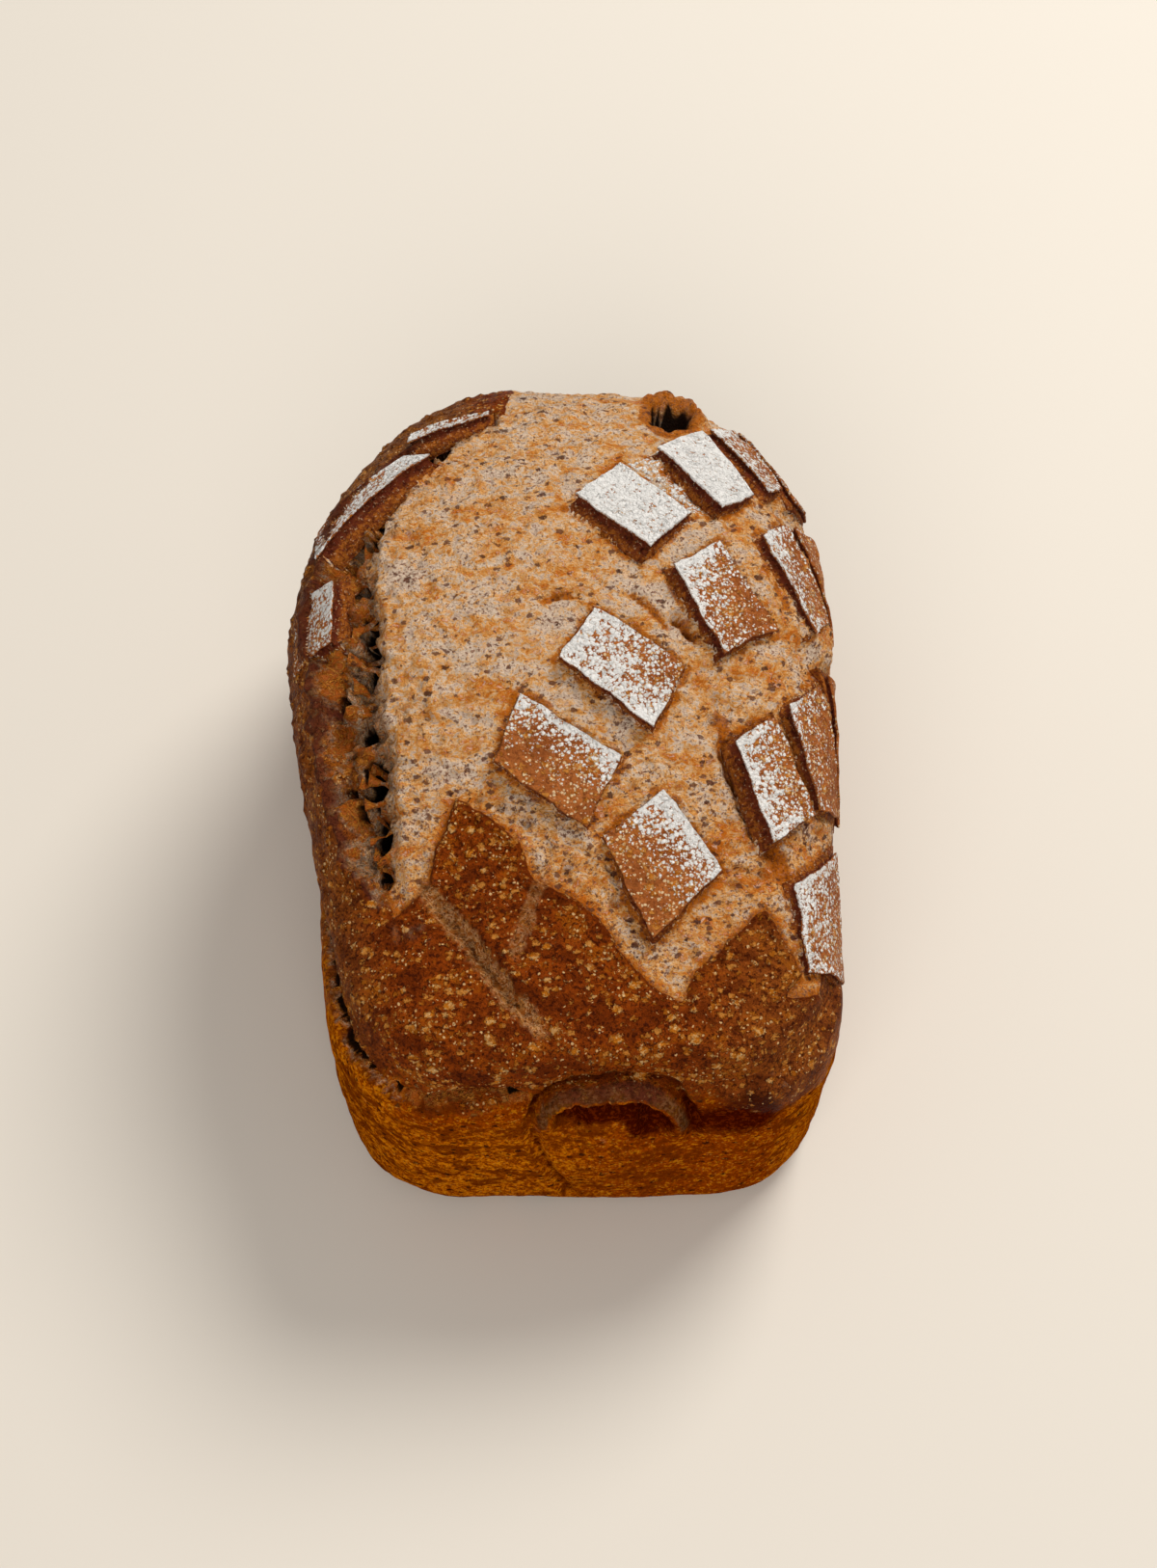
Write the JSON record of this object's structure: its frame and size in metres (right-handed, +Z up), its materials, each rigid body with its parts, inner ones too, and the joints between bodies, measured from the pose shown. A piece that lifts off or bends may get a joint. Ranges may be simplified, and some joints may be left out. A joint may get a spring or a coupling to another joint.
{
  "type": "wholemeal sourdough loaf",
  "caption": "Tin-baked wholemeal sourdough loaf with a burst, cross-scored top: floured crust tiles stand on pale swollen skin, and a torn ear runs along one side.",
  "frame": {"origin": "under the middle of the loaf, on the surface it rests on", "axes": "+Z up, +Y along the loaf from its low near end to its high far end, +X to the right as seen from the low end"},
  "size_m": [0.1278, 0.1906, 0.1058],
  "materials": {
    "crust": "matte baked crust, reddish brown, with white flour on its tiles and pale grey-beige skin between them"
  },
  "bodies": {
    "root": {"loaf": "crust"}
  },
  "joints": []
}
